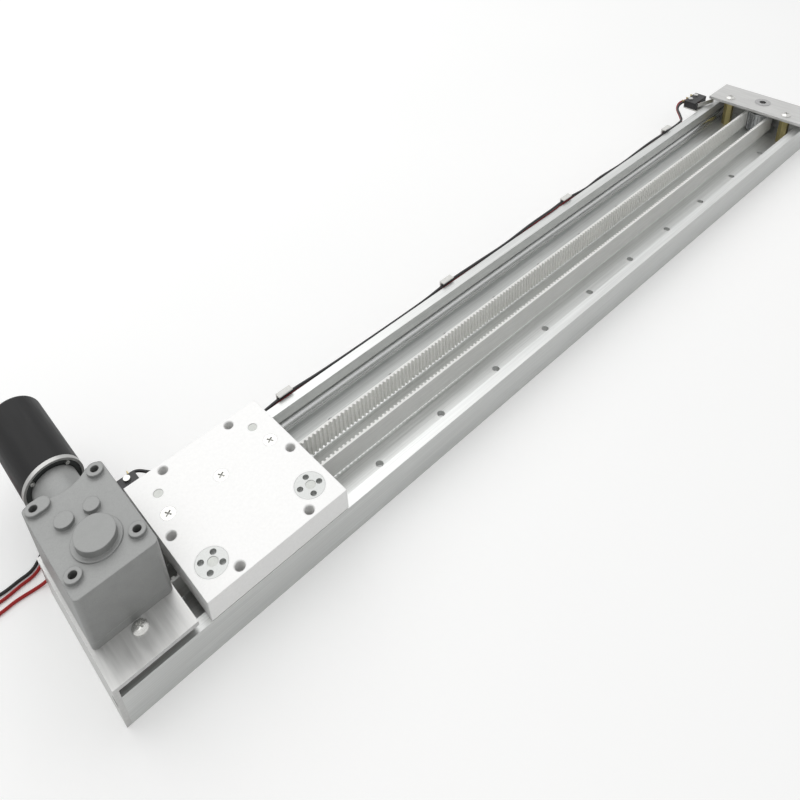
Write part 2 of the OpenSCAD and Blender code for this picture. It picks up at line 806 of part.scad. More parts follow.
module carriage_plate() {
    color("whitesmoke") difference() {
        block([carriage_start, -half_width, carriage_bottom],
              [carriage_start + carriage_length, half_width, carriage_top]);
        // Stepped bores of the eccentric bushes
        for (x = [near_roller_x, far_roller_x]) {
            upright(x, -roller_row, bush_radius + run, carriage_bottom - over, carriage_top + over);
            upright(x, -roller_row, bush_flange_radius + run, carriage_top - bush_flange_height,
                    carriage_top + over);
            upright(x, roller_row, axle_head_radius + fit, carriage_bottom - over,
                    carriage_top + over);
        }
        for (k = [-1 : 1])
            clamp_screw(k, fit);
        // Tapped fixing holes with a small lead-in
        for (x = [-1, 1], y = [-1, 1])
            fixing_hole(carriage_x + x * fixing_pitch_x / 2, y * (half_width - fixing_edge));
        for (x = [-1, 1])
            fixing_hole(carriage_x + x * fixing_span / 2, 0);
        // Pocket that seats the belt clamp
        block([carriage_x - clamp_length / 2 - fit, clamp_inner - fit, carriage_bottom - over],
              [carriage_x + clamp_length / 2 + fit, clamp_outer + fit,
               carriage_bottom + clamp_pocket_depth]);
    }
}

module fixing_hole(x, y) {
    upright(x, y, fixing_diameter / 2, carriage_bottom - over, carriage_top + over);
    translate([x, y, carriage_top - 0.5])
        cylinder(r1 = fixing_diameter / 2, r2 = fixing_diameter / 2 + 0.5, h = 0.51);
}

// Countersunk screw from the top into the clamp
module clamp_screw(k, extra = 0) {
    x = carriage_x + k * clamp_screw_pitch;
    translate([x, clamp_screw_row, carriage_top - 2.2])
        cylinder(r1 = 2 + extra, r2 = 4 + extra, h = 2.2 + (extra > 0 ? 0.01 : 0));
    upright(x, clamp_screw_row, 2 + extra, carriage_bottom + 0.5, carriage_top - 2.1);
}

// Screw through the clamp's wall that presses the jaw
module jaw_screw(k, extra = 0) {
    length = clamp_wall + 0.2;
    middle = (clamp_bottom + belt_top) / 2;
    translate([carriage_x + k * jaw_screw_spacing / 2, clamp_outer - length, middle])
        rotate([-90, 0, 0]) cylinder(r = 1.5 + extra, h = length);
}

module clamp_screws() {
    color("silver") {
        for (k = [-1 : 1])
            difference() {
                clamp_screw(k);
                cross_recess(carriage_x + k * clamp_screw_pitch, clamp_screw_row, carriage_top);
            }
        for (k = [-1, 1]) jaw_screw(k);
    }
}

module belt_clamp() {
    color("silver") difference() {
        union() {
            block([carriage_x - clamp_length / 2, clamp_inner, carriage_bottom + gap],
                  [carriage_x + clamp_length / 2, clamp_outer,
                   carriage_bottom + clamp_pocket_depth]);
            block([carriage_x - clamp_body_length / 2, clamp_inner, clamp_bottom],
                  [carriage_x + clamp_body_length / 2, clamp_outer, carriage_bottom + over]);
        }
        block([carriage_x - clamp_length / 2 - over, slot_inner, clamp_bottom - over],
              [carriage_x + clamp_length / 2 + over, slot_outer, belt_top + gap]);
        for (k = [-1 : 1]) clamp_screw(k, fit);
        for (k = [-1, 1]) jaw_screw(k, fit);
    }
}

module clamp_jaw() {
    color("silver")
        block([carriage_x - clamp_body_length / 2 + 1, band_outer + gap, clamp_bottom + 0.5],
              [carriage_x + clamp_body_length / 2 - 1, slot_outer - 0.2, belt_top]);
}

// Axle with its collar and the roller's inner race
module axle_set() {
    pin = axle_diameter / 2;
    upright(0, 0, axle_head_radius, carriage_bottom, carriage_top - 0.2);
    upright(0, 0, collar_radius, roller_top, carriage_bottom);
    upright(0, 0, pin, roller_bottom, roller_top);
    difference() {
        upright(0, 0, race_radius, roller_bottom, roller_top);
        upright(0, 0, pin - 0.01, roller_bottom - over, roller_top + over);
    }
}

module fixed_axles() {
    color("dimgray") for (x = [near_roller_x, far_roller_x])
        translate([x, roller_row, 0]) axle_set();
}

module roller(x, y) {
    color("gainsboro") translate([x, y, shaft_height]) rotate_extrude() difference() {
        translate([race_radius + run, -roller_width / 2])
            square([roller_diameter / 2 - race_radius - run, roller_width]);
        translate([running_radius + shaft_radius, 0]) circle(r = shaft_radius + run);
    }
}

module roller_left_near() roller(near_roller_x, roller_row);
module roller_left_far() roller(far_roller_x, roller_row);
module roller_right_near() roller(near_roller_x + eccentricity, -roller_row);
module roller_right_far() roller(far_roller_x + eccentricity, -roller_row);

module eccentric_bush(x, turn) {
    color("gainsboro") translate([x, -roller_row, 0]) difference() {
        union() {
            upright(0, 0, bush_flange_radius, carriage_top - bush_flange_height, carriage_top);
            upright(0, 0, bush_radius, carriage_bottom, carriage_top);
        }
        upright(eccentricity, 0, axle_head_radius + fit, carriage_bottom - over,
                carriage_top + over);
        for (k = [0 : 3])
            rotate(turn + 90 * k)
                upright(5.2, 0, 1.6, carriage_top - bush_flange_height + 0.6, carriage_top + over);
    }
}

module eccentric_bush_near() eccentric_bush(near_roller_x, 50);
module eccentric_bush_far() eccentric_bush(far_roller_x, 74);

module eccentric_axle_near() {
    color("dimgray") translate([near_roller_x + eccentricity, -roller_row, 0]) axle_set();
}

module eccentric_axle_far() {
    color("dimgray") translate([far_roller_x + eccentricity, -roller_row, 0]) axle_set();
}

// Limit switches ------------------------------------------------------------

// A switch is drawn for a lever that points along +X from its pivot at the
// origin; the near one is its mirror image
module place_switch(far) {
    translate([far ? far_pivot_x : near_pivot_x, 0, 0]) mirror([far ? 0 : 1, 0, 0]) children();
}

function switch_middle() = switch_length / 2 - pivot_inset;
function near_bracket_x() = near_pivot_x - switch_middle();
function far_bracket_x() = far_pivot_x + switch_middle();

module switch_body(far) {
    body_back = switch_face + switch_width;
    color("black") place_switch(far) difference() {
        union() {
            block([-pivot_inset, switch_face, switch_bottom],
                  [switch_length - pivot_inset, body_back, switch_top]);
            // Ear that holds the lever's hinge
            block([-pivot_inset + 0.5, switch_face - 1.5, switch_bottom + 1],
                  [-1.1, switch_face + 1, switch_top - 1]);
        }
        for (dx = [-1, 1])
            upright(switch_middle() + dx * switch_hole_pitch / 2, body_back - 2.9, 1.2,
                    switch_bottom - over, switch_top + over);
        // Button well
        translate([button_offset, switch_face - over, switch_bottom + switch_height / 2])
            rotate([-90, 0, 0]) cylinder(r = 1.1 + run, h = 4 + over);
    }
}

module near_switch_body() switch_body(false);
module far_switch_body() switch_body(true);

module switch_terminals() {
    color("goldenrod") for (far = [false, true]) place_switch(far)
        for (x = switch_terminals_at)
            block([x - 0.3, switch_face + switch_width, switch_bottom + 1.6],
                  [x + 0.3, switch_face + switch_width + 3.5, switch_bottom + 4.8]);
}

module switch_brackets() {
    color("silver") for (far = [false, true]) difference() {
        place_switch(far) union() {
            block([-pivot_inset, half_width, switch_bracket_low],
                  [switch_length - pivot_inset, half_width + bracket_sheet, switch_bottom]);
            block([-pivot_inset, half_width, switch_bottom - bracket_sheet],
                  [switch_length - pivot_inset, switch_face + switch_width, switch_bottom]);
        }
        x = far ? far_bracket_x() : near_bracket_x();
        for (dx = [-1, 1])
            upright(x + dx * switch_hole_pitch / 2, switch_face + switch_width - 2.9, 1.15 + fit,
                    switch_bottom - 3, switch_bottom + 1);
        for (side = [-1, 1]) wall_screw(x + side * wall_screw_pitch / 2, fit);
    }
}

module wall_screw(x, extra = 0) {
    translate([x, half_width + bracket_sheet + 1.6, wall_height - 5.4]) rotate([90, 0, 0]) {
        cylinder(r = 2.2 + extra, h = 1.6);
        cylinder(r = 1.2 + extra, h = 6.8);
    }
}

module switch_screws() {
    color("silver") for (far = [false, true]) {
        x = far ? far_bracket_x() : near_bracket_x();
        for (dx = [-1, 1]) {
            sx = x + dx * switch_hole_pitch / 2;
            sy = switch_face + switch_width - 2.9;
            upright(sx, sy, 1.9, switch_top, switch_top + 1.3);
            upright(sx, sy, 1.15, switch_bottom - 2, switch_top);
        }
        for (side = [-1, 1]) wall_screw(x + side * wall_screw_pitch / 2);
    }
}

module switch_lever(far) {
    low = switch_bottom + 1.2;
    high = switch_bottom + 5.2;
    color("silver") place_switch(far) translate([0, pivot_y, 0]) rotate(-lever_angle) {
        upright(0, 0, 0.6, low, high);
        block([0, -lever_thickness / 2, low], [lever_length, lever_thickness / 2, high]);
        upright(lever_length, 0, 0.6, low, high);
    }
}

module near_switch_lever() switch_lever(false);
module far_switch_lever() switch_lever(true);

module switch_button(far) {
    tip = pivot_y - button_offset * tan(lever_angle) + lever_thickness / 2 / cos(lever_angle) + gap;
    color("crimson") place_switch(far)
        translate([button_offset, tip, switch_bottom + switch_height / 2]) rotate([-90, 0, 0])
            cylinder(r = 1.1, h = 3.4);
}

module near_switch_button() switch_button(false);
module far_switch_button() switch_button(true);

// Wiring ------------------------------------------------------------------

// Points of a smooth route with extra points between the chosen ones
function blend(a, b, c, d, t) =
    0.5 * ((2 * b) + (c - a) * t + (2 * a - 5 * b + 4 * c - d) * t * t
        + (3 * b - a - 3 * c + d) * t * t * t);
function smooth(route, parts) = [
    for (i = [0 : len(route) - 2], k = [0 : parts - 1])
        blend(route[max(i - 1, 0)], route[i], route[i + 1],
              route[min(i + 2, len(route) - 1)], k / parts),
    route[len(route) - 1]
];
function unit(v) = v / norm(v);

// A tube of eight sides along a list of points
module tube(points, radius) {
    sides = 8;
    count = len(points);
    rings = [
        for (i = [0 : count - 1])
            let (along = unit(points[min(i + 1, count - 1)] - points[max(i - 1, 0)]),
                 flat = norm(cross([0, 0, 1], along)) > 0.05 ? cross([0, 0, 1], along) : [0, 1, 0],
                 side = unit(flat),
                 up = cross(along, side))
            for (k = [0 : sides - 1])
                points[i] + radius * (cos(360 * k / sides) * side + sin(360 * k / sides) * up)
    ];
    polyhedron(
        points = rings,
        faces = concat(
            [[for (k = [0 : sides - 1]) k]],
            [for (i = [0 : count - 2], k = [0 : sides - 1])
                let (a = i * sides + k, b = i * sides + (k + 1) % sides)
                [b, a, a + sides, b + sides]],
            [[for (k = [sides - 1 : -1 : 0]) (count - 1) * sides + k]]));
}

// A point drawn from the wall, moved with the wall and with the far switch
function stretched(x) = x + (far_pivot_x - drawn_far_pivot)
    * min(max((x - stretch_start) / (stretch_stop - stretch_start), 0), 1);
function on_wall(p) = [stretched(p[0]), p[1] + half_width, p[2]];

module switch_wire_black() {
    route = concat(black_start, wall_route, black_end);
    color("black") tube([for (p = route) on_wall(p)], wire_radius);
}

module switch_wire_red() {
    lowered = [for (p = wall_route) p - [0, 0, wire_drop]];
    route = concat(red_start, lowered, red_end);
    color("darkred") tube([for (p = route) on_wall(p)], wire_radius);
}

// Hoods over the wires: their upper lips stand off the wall for the carriage
module cable_clips() {
    length = 10;
    lip = 0.8;
    depth = 4.2;
    low = wall_height - 4.6;
    high = wall_height + 3;
    color("white") for (place = clip_places)
        translate([stretched(place) - length / 2, 0, 0]) difference() {
            block([0, half_width, low], [length, half_width + depth, high]);
            block([-over, half_width - over, low + lip],
                  [length + over, half_width + depth - lip, high - lip]);
            block([-over, half_width - over, wall_height - 0.1],
                  [length + over, half_width + 0.4, high + over]);
        }
}

module switch_lead() {
    color("darkred") tube(smooth(switch_lead_route, 2), wire_radius);
}

// Motor lead from the end of its terminal
module motor_lead(side, route) {
    tube(concat([[side * terminal_offset, motor_back + terminal_length, motor_z]],
                smooth(route, 2)), wire_radius);
}

module motor_lead_black() {
    color("black") motor_lead(-1, motor_black_route);
}

module motor_lead_red() {
    color("darkred") motor_lead(1, motor_red_route);
}

// Outer shape of four turns of a lead, two beside and two on each other
module coil(centre) {
    translate([centre[0], centre[1], 0]) rotate_extrude()
        rounded_rect([coil_radius - coil_half_width, 1 - wire_radius],
                     [coil_radius + coil_half_width, coil_height], wire_radius);
}

module switch_lead_coil() {
    color("darkred") coil(switch_coil_centre);
}

module motor_black_coil() {
    color("black") coil(motor_black_centre);
}

module motor_red_coil() {
    color("darkred") coil(motor_red_centre);
}

rail();
guide_shaft_left();
guide_shaft_right();
motor_bracket();
idler_bracket();
frame_screws();
standoffs();
plate_screws();
gearbox_housing();
gearbox_base_plate();
gearbox_screws();
output_bearings();
intermediate_pin();
motor_front_ring();
motor_front_plate();
motor_screws();
motor_can();
motor_end_cap();
motor_terminals();
idler_axle();
belt();
near_switch_body();
far_switch_body();
switch_terminals();
switch_brackets();
switch_screws();
switch_wire_black();
switch_wire_red();
cable_clips();
switch_lead();
motor_lead_black();
motor_lead_red();
switch_lead_coil();
motor_black_coil();
motor_red_coil();
output_shaft();
output_gear();
drive_pulley();
intermediate_gear();
worm_shaft();
motor_armature();
idler_pulley();
idler_bearings();
carriage_plate();
belt_clamp();
clamp_jaw();
clamp_screws();
fixed_axles();
roller_left_near();
roller_left_far();
roller_right_near();
roller_right_far();
eccentric_bush_near();
eccentric_bush_far();
eccentric_axle_near();
eccentric_axle_far();
near_switch_lever();
far_switch_lever();
near_switch_button();
far_switch_button();
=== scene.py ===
"""Belt driven linear axis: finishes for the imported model, its wires and leads, and a studio."""
import math

import bmesh
import bpy
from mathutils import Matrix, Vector


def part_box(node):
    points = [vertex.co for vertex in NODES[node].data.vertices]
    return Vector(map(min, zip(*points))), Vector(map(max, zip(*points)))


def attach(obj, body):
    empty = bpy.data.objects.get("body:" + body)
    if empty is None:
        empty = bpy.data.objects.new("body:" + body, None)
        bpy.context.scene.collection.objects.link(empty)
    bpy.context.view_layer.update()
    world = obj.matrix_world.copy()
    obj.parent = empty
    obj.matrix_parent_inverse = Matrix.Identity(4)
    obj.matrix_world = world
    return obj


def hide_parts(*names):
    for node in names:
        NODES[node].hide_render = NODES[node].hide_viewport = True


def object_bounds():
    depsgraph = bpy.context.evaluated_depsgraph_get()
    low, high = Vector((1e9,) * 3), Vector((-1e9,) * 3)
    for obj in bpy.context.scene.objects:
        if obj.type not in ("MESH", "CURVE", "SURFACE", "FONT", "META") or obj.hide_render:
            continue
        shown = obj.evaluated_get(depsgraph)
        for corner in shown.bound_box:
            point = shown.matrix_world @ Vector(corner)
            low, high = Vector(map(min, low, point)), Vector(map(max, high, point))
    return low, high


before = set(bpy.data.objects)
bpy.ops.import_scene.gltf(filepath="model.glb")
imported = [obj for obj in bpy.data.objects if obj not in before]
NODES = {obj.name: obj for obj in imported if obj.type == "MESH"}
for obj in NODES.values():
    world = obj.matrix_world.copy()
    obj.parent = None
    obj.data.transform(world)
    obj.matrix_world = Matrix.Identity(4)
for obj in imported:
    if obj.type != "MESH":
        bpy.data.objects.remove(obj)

bl_info = {
    "name": "Belt driven linear axis",
    "version": (1, 0, 0),
    "blender": (4, 5, 0),
    "location": "3D view > Sidebar > Axis",
    "description": "Finishes, wires and a studio for a belt driven linear axis",
    "category": "Object",
}

CAD_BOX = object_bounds()
MM = 0.001

# Routes in millimetres, the same as in the part's source
WALL_ROUTE = [
    (590, 54, 22.6), (582, 46.5, 21.4), (574, 42.2, 21), (550, 41.4, 21.4),
    (530, 41.2, 22.4), (510, 41.6, 21.6), (480, 41.2, 20.8), (450, 41.4, 22),
    (430, 41.4, 20.8), (405, 42.2, 22.8), (385, 41.4, 23.2), (360, 41.6, 22.8),
    (330, 41.2, 21.6), (300, 41.2, 22.4), (270, 41.8, 22.2), (245, 41.4, 20.8),
    (200, 41.2, 21), (160, 41.4, 21.4), (130, 42, 22.2), (110, 41.4, 21), (80, 41.6, 20.6),
]
BLACK_START = [(602.3, 55.8, 24.4), (600, 55.8, 24.4), (596, 56, 23.8)]
BLACK_END = [
    (60, 43.6, 20.4), (47, 49.4, 22), (40.6, 54.6, 23.8), (37.4, 55.6, 24.4), (35.2, 55.6, 24.4),
]
RED_START = [(609.7, 55.8, 24.4), (608.4, 55.8, 24.4), (602.6, 58.8, 23.2), (596, 57.8, 21.6)]
RED_END = [(60, 42.8, 18.6), (42, 46, 16.5), (24, 46.4, 16.1), (4, 45.4, 15.7), (-6, 44.4, 15.1)]
SWITCH_LEAD = [
    (-6, 44.4, 15.1), (-12, 44.4, 12.6), (-17, 45.4, 7), (-21, 46.8, 2.6), (-26, 47.8, 1),
    (-36, 48.6, 1), (-45, 48, 1), (-60, 47.6, 1), (-76, 49, 1), (-88, 54, 1),
    (-95, 62, 1), (-96.2, 72, 1),
]
MOTOR_BLACK = [
    (-5, 121, 48), (-5, 123.8, 46.6), (-5, 125, 43.4), (-5, 125, 35), (-5, 123.4, 22),
    (-4.8, 118.4, 8), (-4.6, 110, 2), (-4.2, 99, 1), (-4, 84, 1), (-12, 70, 1),
    (-22.5, 59.5, 1), (-32, 58, 1), (-41, 57.5, 1), (-50, 60, 1), (-59, 67, 1),
    (-62.2, 78, 1), (-62.2, 92, 1),
]
MOTOR_RED = [
    (5, 121, 48), (5, 123.8, 46.6), (5, 125, 43.4), (4.8, 125, 35), (4, 123.4, 22),
    (2.4, 118.4, 8), (0.6, 110, 2), (-0.8, 99, 1), (-1.2, 83, 1), (-9.4, 68, 1),
    (-22, 56.5, 1), (-32, 54.8, 1), (-43, 53.8, 1), (-53, 56.2, 1), (-62, 62.6, 1),
    (-65.2, 74, 1), (-65.4, 92, 1), (-65, 106, 1), (-64.8, 119, 1),
]
WIRE_GAP = 0.1
TERMINAL_HALF_WIDTH = 0.0014
LEADS = {
    "switch_cord": ("switch_lead", "switch_lead_coil", (-84, 72)),
    "motor_cord_black": ("motor_lead_black", "motor_black_coil", (-50, 92)),
    "motor_cord_red": ("motor_lead_red", "motor_red_coil", (-52.6, 119)),
}

# Wires and coils: steps along a route and round a turn, and the stripped tip's outline as
# distances along the wire in metres and shares of its radius
CURVE_STEPS = 4
TURN_STEPS = 20
LOW_LAYER = 1
RISE_TURNS = 0.3
TIP_SIDES = 12
TIP_OUTLINE = [(-0.0005, 0.55), (0.0035, 0.55), (0.0042, 0.45), (0.0045, 0.2)]

# Finishes
CLOUD_CELLS = (28, 34, 40)
COARSE_BELOW = 2000
ROUGHNESS_SPREAD = 0.07
BRIGHTEST = 0.97

# Camera and lights
SENSOR_WIDTH = 36
CAMERA_PLACE = (-0.04133, -0.25025, 0.38847)
CAMERA_TURN = (59.822, 4.0996, -41.0177)
CAMERA_SHIFT = (0.0673, -0.3287)
KEY_OFFSET = Vector((-0.15, 0.75, 1.3))
KEY_SIZE = 2.2
FLOOR_HALF = 4.0
FLOOR_GLOW = 0.13


# Finishes ------------------------------------------------------------------

def new_node(tree, kind, **values):
    """A new shader node with its plain attributes set."""
    node = tree.nodes.new(kind)
    for key, value in values.items():
        setattr(node, key, value)
    return node


def scaled(colour, factor):
    """A colour made lighter or darker, within what a surface can reflect."""
    return tuple(min(c * factor, BRIGHTEST) for c in colour[:3]) + (1,)


def noise(tree, place, stretch, detail=4):
    """The factor of a noise that is stretched along the axes, in cells per metre."""
    mapping = new_node(tree, "ShaderNodeMapping")
    mapping.inputs["Scale"].default_value = stretch
    texture = new_node(tree, "ShaderNodeTexNoise")
    texture.inputs["Scale"].default_value = 1
    texture.inputs["Detail"].default_value = detail
    tree.links.new(place, mapping.inputs["Vector"])
    tree.links.new(mapping.outputs["Vector"], texture.inputs["Vector"])
    return texture.outputs["Fac"]


def ranged(tree, value, low, high, to_low, to_high):
    """A value moved from one range to another, and held there."""
    node = new_node(tree, "ShaderNodeMapRange")
    for index, number in enumerate((low, high, to_low, to_high), start=1):
        node.inputs[index].default_value = number
    tree.links.new(value, node.inputs[0])
    return node.outputs[0]


def ramp(tree, value, stops):
    """A colour ramp with the given places and colours."""
    node = new_node(tree, "ShaderNodeValToRGB")
    band = node.color_ramp
    band.elements[0].position, band.elements[0].color = stops[0]
    band.elements[1].position, band.elements[1].color = stops[-1]
    for position, colour in stops[1:-1]:
        band.elements.new(position).color = colour
    tree.links.new(value, node.inputs["Fac"])
    return node.outputs["Color"]


def blended(tree, factor, first, second, mode="MIX"):
    """Two colours mixed by a factor."""
    node = new_node(tree, "ShaderNodeMix", data_type="RGBA", blend_type=mode)
    for socket, value in ((0, factor), (6, first), (7, second)):
        if isinstance(value, (float, tuple)):
            node.inputs[socket].default_value = value
        else:
            tree.links.new(value, node.inputs[socket])
    return node.outputs[2]


def finish(name, colour, metallic, roughness, grain=(900, 900, 900), tone=0.08, fine=2500,
           speck=0.05, bump=0.1, depth=0.00004, edge=0.0002, wear=0.25, sheen=0.5, patches=0.05):
    """A procedural finish: grain, fine specks, patches, softened edges and wear along them."""
    material = bpy.data.materials.new(name)
    material.use_nodes = True
    tree = material.node_tree
    shader = tree.nodes["Principled BSDF"]
    shader.inputs["Metallic"].default_value = metallic
    shader.inputs["Specular IOR Level"].default_value = sheen
    place = new_node(tree, "ShaderNodeTexCoord").outputs["Object"]
    lines = noise(tree, place, grain)
    specks = noise(tree, place, (fine,) * 3, 2)
    cloud = noise(tree, place, CLOUD_CELLS, 3)
    base = ramp(tree, lines, [(0.3, scaled(colour, 1 - tone)), (0.7, scaled(colour, 1 + tone))])
    base = blended(tree, ranged(tree, specks, 0.35, 0.7, 0, speck), base, scaled(colour, 0.55))
    base = blended(tree, ranged(tree, cloud, 0.35, 0.65, 0, patches), base, scaled(colour, 0.8))
    rounded = new_node(tree, "ShaderNodeBevel", samples=4)
    rounded.inputs["Radius"].default_value = edge
    flat = new_node(tree, "ShaderNodeNewGeometry").outputs["Normal"]
    turn = new_node(tree, "ShaderNodeVectorMath", operation="DOT_PRODUCT")
    tree.links.new(rounded.outputs["Normal"], turn.inputs[0])
    tree.links.new(flat, turn.inputs[1])
    worn = ranged(tree, turn.outputs["Value"], 0.8, 0.99, wear, 0)
    base = blended(tree, worn, base, scaled(colour, 1.35))
    tree.links.new(base, shader.inputs["Base Color"])
    rough = ranged(tree, lines, 0.3, 0.7, roughness - ROUGHNESS_SPREAD,
                   roughness + ROUGHNESS_SPREAD)
    tree.links.new(rough, shader.inputs["Roughness"])
    relief = new_node(tree, "ShaderNodeBump")
    relief.inputs["Strength"].default_value = bump
    relief.inputs["Distance"].default_value = depth
    tree.links.new(specks if fine < COARSE_BELOW else lines, relief.inputs["Height"])
    tree.links.new(rounded.outputs["Normal"], relief.inputs["Normal"])
    tree.links.new(relief.outputs["Normal"], shader.inputs["Normal"])
    return material


def dress(material, *names):
    """The material on every slot of the named CAD nodes."""
    for name in names:
        obj = NODES[name]
        if not obj.material_slots:
            obj.data.materials.append(material)
        for slot in obj.material_slots:
            slot.material = material


# Wires ---------------------------------------------------------------------

def smooth(points):
    """Points along a Catmull-Rom curve through a route."""
    last = len(points) - 1
    result = []
    for i in range(last):
        a, b, c, d = (Vector(points[min(max(k, 0), last)]) for k in (i - 1, i, i + 1, i + 2))
        for k in range(CURVE_STEPS):
            t = k / CURVE_STEPS
            result.append(0.5 * (2 * b + (c - a) * t + (2 * a - 5 * b + 4 * c - d) * t * t
                                 + (3 * b - a - 3 * c + d) * t ** 3))
    return result + [Vector(points[last])]


def length_of(points):
    """The length of a line through points."""
    return sum((b - a).length for a, b in zip(points, points[1:]))


def wire(name, points, diameter, material):
    """A round wire along points in millimetres, as a curve of one open spline."""
    data = bpy.data.curves.new(name, "CURVE")
    data.dimensions = "3D"
    data.bevel_depth = diameter / 2
    data.bevel_resolution = 3
    data.use_fill_caps = True
    spline = data.splines.new("POLY")
    spline.points.add(len(points) - 1)
    for point, place in zip(spline.points, points):
        point.co = (*(Vector(place) * MM), 1)
    spline.use_smooth = True
    data.materials.append(material)
    obj = bpy.data.objects.new(name, data)
    bpy.context.collection.objects.link(obj)
    return obj


def coil_points(centre, radius, pitch, turns):
    """A coil that winds in on the lower layer, rises, and winds out on the upper one."""
    points = []
    half = turns / 2
    for k in range(1, int(turns * TURN_STEPS) + 1):
        t = k / TURN_STEPS
        inward = min(t, half) - max(t - half, 0)
        rise = min(max((t - half) / RISE_TURNS + 0.5, 0), 1)
        reach = radius + pitch * (half / 2 - inward)
        angle = math.pi - 2 * math.pi * t
        points.append((centre[0] + reach * math.cos(angle), centre[1] + reach * math.sin(angle),
                       LOW_LAYER + pitch * rise * rise * (3 - 2 * rise)))
    return points


def bare_end(name, points, diameter, material):
    """The stripped and tinned end of a lead, a short round tip."""
    end, before = Vector(points[-1]) * MM, Vector(points[-2]) * MM
    along = (end - before).normalized()
    mesh = bpy.data.meshes.new(name)
    shape = bmesh.new()
    rings = []
    side = along.cross(Vector((0, 0, 1))).normalized()
    up = side.cross(along)
    turns = [2 * math.pi * k / TIP_SIDES for k in range(TIP_SIDES)]
    for distance, share in TIP_OUTLINE:
        ring = [shape.verts.new(end + along * distance
                                + (side * math.cos(a) + up * math.sin(a)) * diameter / 2 * share)
                for a in turns]
        rings.append(ring)
    for low, high in zip(rings, rings[1:]):
        for k in range(TIP_SIDES):
            after = (k + 1) % TIP_SIDES
            shape.faces.new((low[k], low[after], high[after], high[k]))
    shape.faces.new(rings[-1])
    shape.faces.new(rings[0][::-1])
    bmesh.ops.recalc_face_normals(shape, faces=shape.faces)
    shape.to_mesh(mesh)
    shape.free()
    mesh.materials.append(material)
    obj = bpy.data.objects.new(name, mesh)
    bpy.context.collection.objects.link(obj)
    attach(obj, "frame")
    return obj


def free_lead(name, route, start, total, material, settings):
    """One free lead with its coil, as a wire of its real length."""
    diameter = settings.wire_diameter
    lay = [Vector(p) for p in start] + smooth(route)
    lead_node, coil_node, centre = LEADS[name]
    radius = settings.coil_radius / MM
    turns = (total / MM - length_of(lay)) / (2 * math.pi * radius)
    pitch = diameter / MM
    points = lay + [Vector(p) for p in coil_points(centre, radius, pitch, turns)]
    obj = wire(name, points, diameter, material)
    tip = bare_end(name + "_tip", points, diameter, tinned_copper())
    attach(obj, "frame")
    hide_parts(lead_node, coil_node)
    return obj


def tinned_copper():
    """The finish of the stripped lead ends, made once."""
    known = bpy.data.materials.get("tinned_copper")
    if known:
        return known
    return finish("tinned_copper", (0.7, 0.7, 0.68, 1), 1.0, 0.35, grain=(400, 4000, 4000))


# Settings --------------------------------------------------------------------

def colour_property(name, description, value):
    """A colour that can be set in the sidebar."""
    return bpy.props.FloatVectorProperty(name=name, description=description, size=4,
                                         subtype="COLOR", min=0, max=1, default=value)


class AxisSettings(bpy.types.PropertyGroup):
    """Sizes and colours that can be changed before the operators run."""

    wire_diameter: bpy.props.FloatProperty(
        name="Wire diameter", description="Diameter over the insulation", default=0.0018,
        unit="LENGTH")
    coil_radius: bpy.props.FloatProperty(
        name="Coil radius", description="Radius of the coiled leads at the middle of their turns",
        default=0.0104, unit="LENGTH")
    motor_lead_length: bpy.props.FloatProperty(
        name="Motor lead", description="Length of each motor lead", default=0.46, unit="LENGTH")
    switch_lead_length: bpy.props.FloatProperty(
        name="Switch lead", description="Length of the switch lead", default=0.38, unit="LENGTH")
    extrusion: colour_property("Extrusion", "Aluminium of the rail", (0.67, 0.68, 0.67, 1))
    plate: colour_property("Plates", "Aluminium of the brackets", (0.60, 0.60, 0.59, 1))
    carriage: colour_property("Carriage", "Aluminium of the carriage", (0.90, 0.90, 0.89, 1))
    casting: colour_property("Casting", "Die-cast gearbox", (0.31, 0.315, 0.31, 1))
    motor: colour_property("Motor", "Painted motor can", (0.008, 0.008, 0.0085, 1))
    belt: colour_property("Belt", "Polyurethane of the belt", (0.89, 0.89, 0.865, 1))
    red: colour_property("Red wire", "Insulation of the red wires", (0.28, 0.012, 0.018, 1))
    black: colour_property("Black wire", "Insulation of the black wires", (0.012, 0.012, 0.013, 1))
    lens: bpy.props.FloatProperty(
        name="Lens", description="Focal length of the camera in millimetres", default=36.06)
    key_power: bpy.props.FloatProperty(
        name="Key light", description="Power of the soft light overhead", default=15, unit="POWER")
    fill: bpy.props.FloatProperty(
        name="Fill", description="Strength of the surrounding light on surfaces", default=0.55)


# Operators -------------------------------------------------------------------

class AXIS_OT_rail(bpy.types.Operator):
    """Finish the rail, the guide shafts and the standoffs"""

    bl_idname = "axis.rail"
    bl_label = "Rail and guides"
    bl_options = {"REGISTER", "UNDO"}

    def execute(self, context):
        settings = context.scene.axis_settings
        dress(finish("extruded_aluminium", settings.extrusion, 0.75, 0.36, grain=(14, 1600, 1600),
                     tone=0.10, bump=0.12, patches=0.12), "rail")
        dress(finish("ground_shaft", (0.55, 0.56, 0.56, 1), 1.0, 0.22, grain=(2600, 300, 300)),
              "guide_shaft_left", "guide_shaft_right")
        dress(finish("olive_brass", (0.42, 0.36, 0.17, 1), 0.9, 0.34, grain=(300, 300, 2600)),
              "standoffs")
        return {"FINISHED"}


